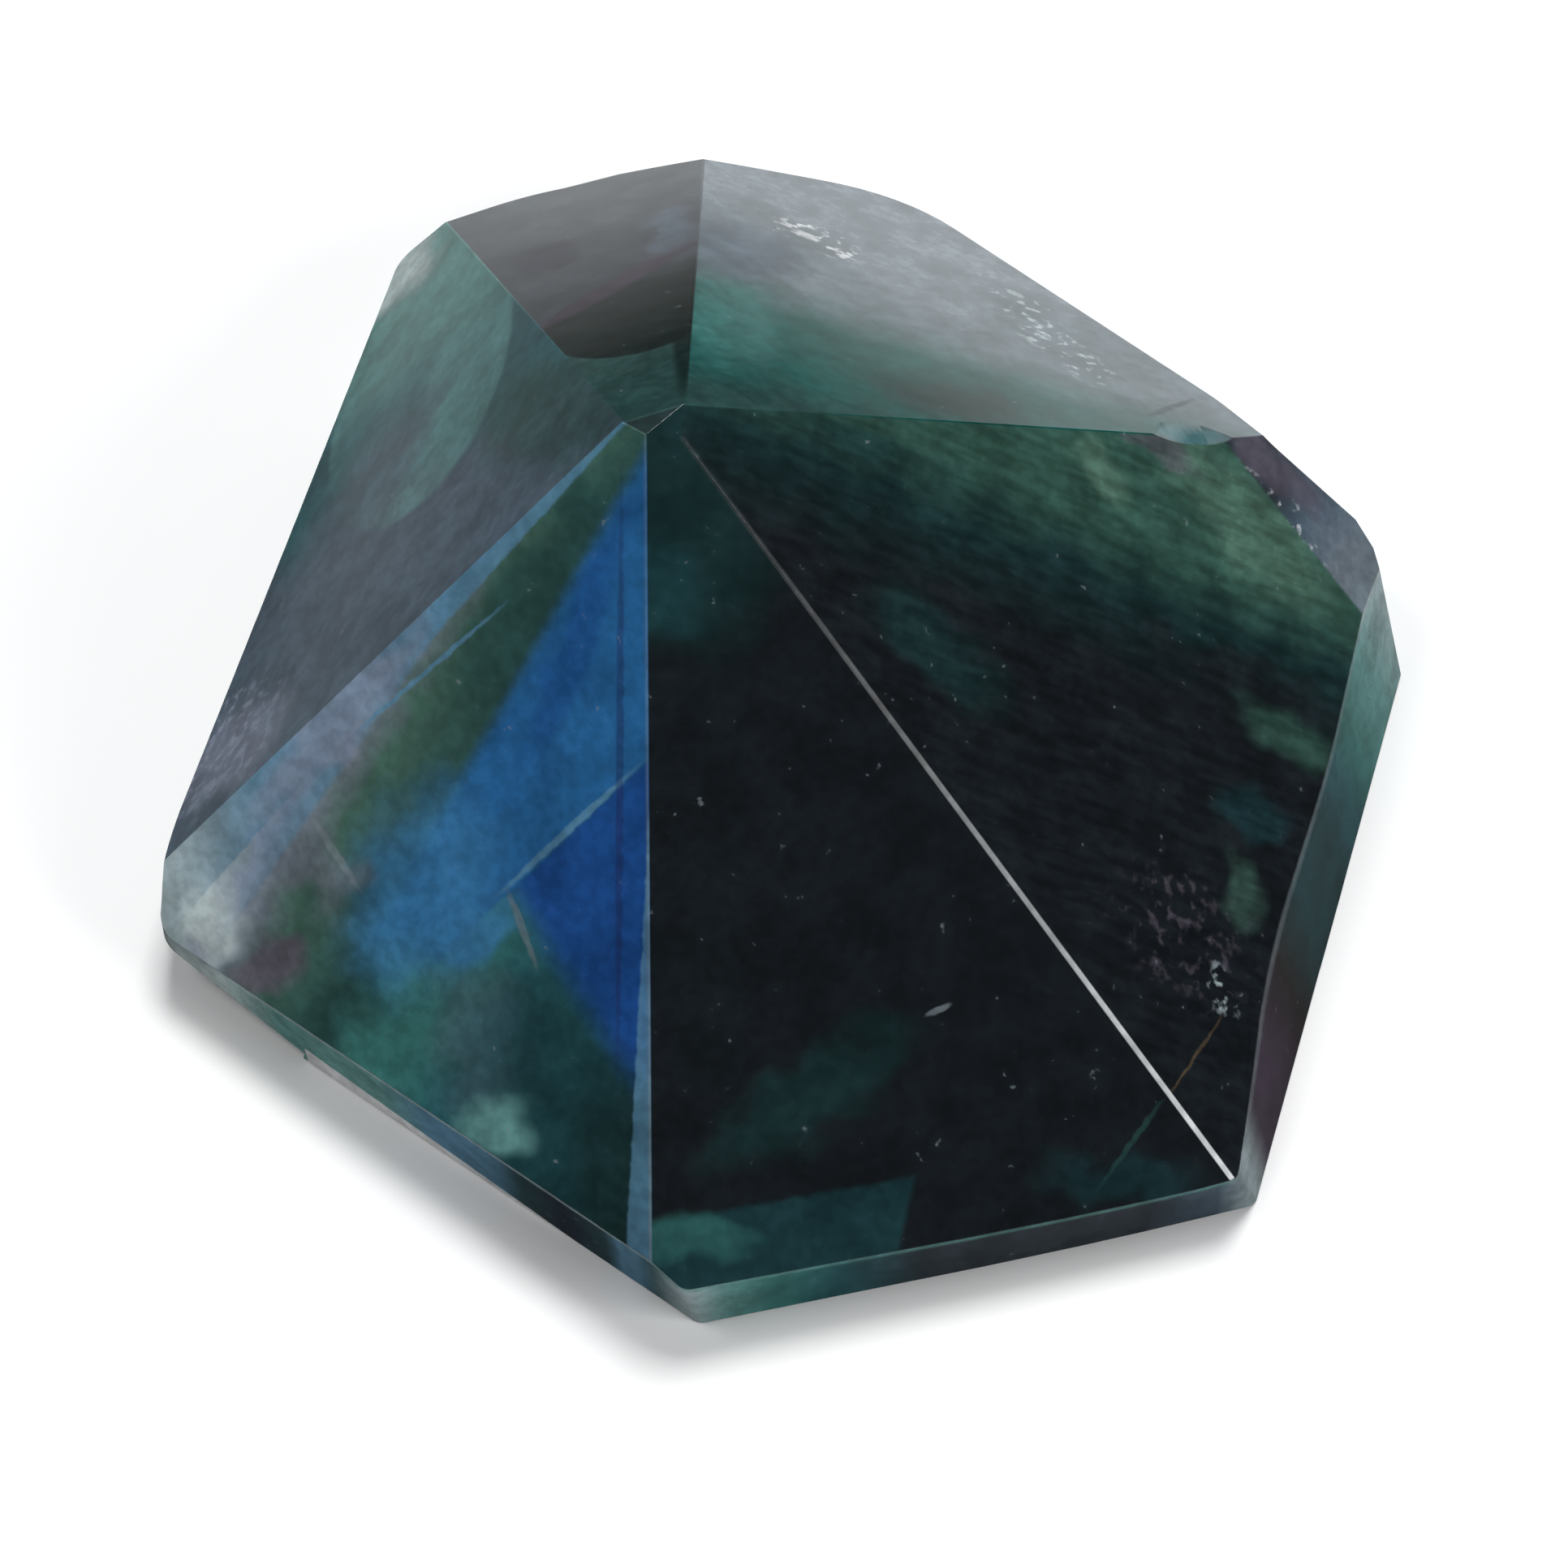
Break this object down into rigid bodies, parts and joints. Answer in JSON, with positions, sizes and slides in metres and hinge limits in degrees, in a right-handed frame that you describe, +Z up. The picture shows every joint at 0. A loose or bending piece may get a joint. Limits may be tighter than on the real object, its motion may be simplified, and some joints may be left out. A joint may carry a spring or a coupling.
{
  "type": "polished fluorite freeform point",
  "caption": "Low polished freeform of banded green and blue fluorite: uneven crown flats rise to a blunt point over an upright girdle and a flat sawn base.",
  "frame": {"origin": "on the flat sawn base, under the middle of the stone's length and width", "axes": "+Z up from the sawn base to the blunt point, -Y towards the front, where the two large front flats meet the lowest part of the girdle, +X to the right"},
  "size_m": [0.0794, 0.0816, 0.0392],
  "materials": {
    "fluorite": "polished, see-through in depth, with green, blue and purple bands and pale veils"
  },
  "bodies": {
    "root": {"fluorite_point": "fluorite"}
  },
  "joints": []
}
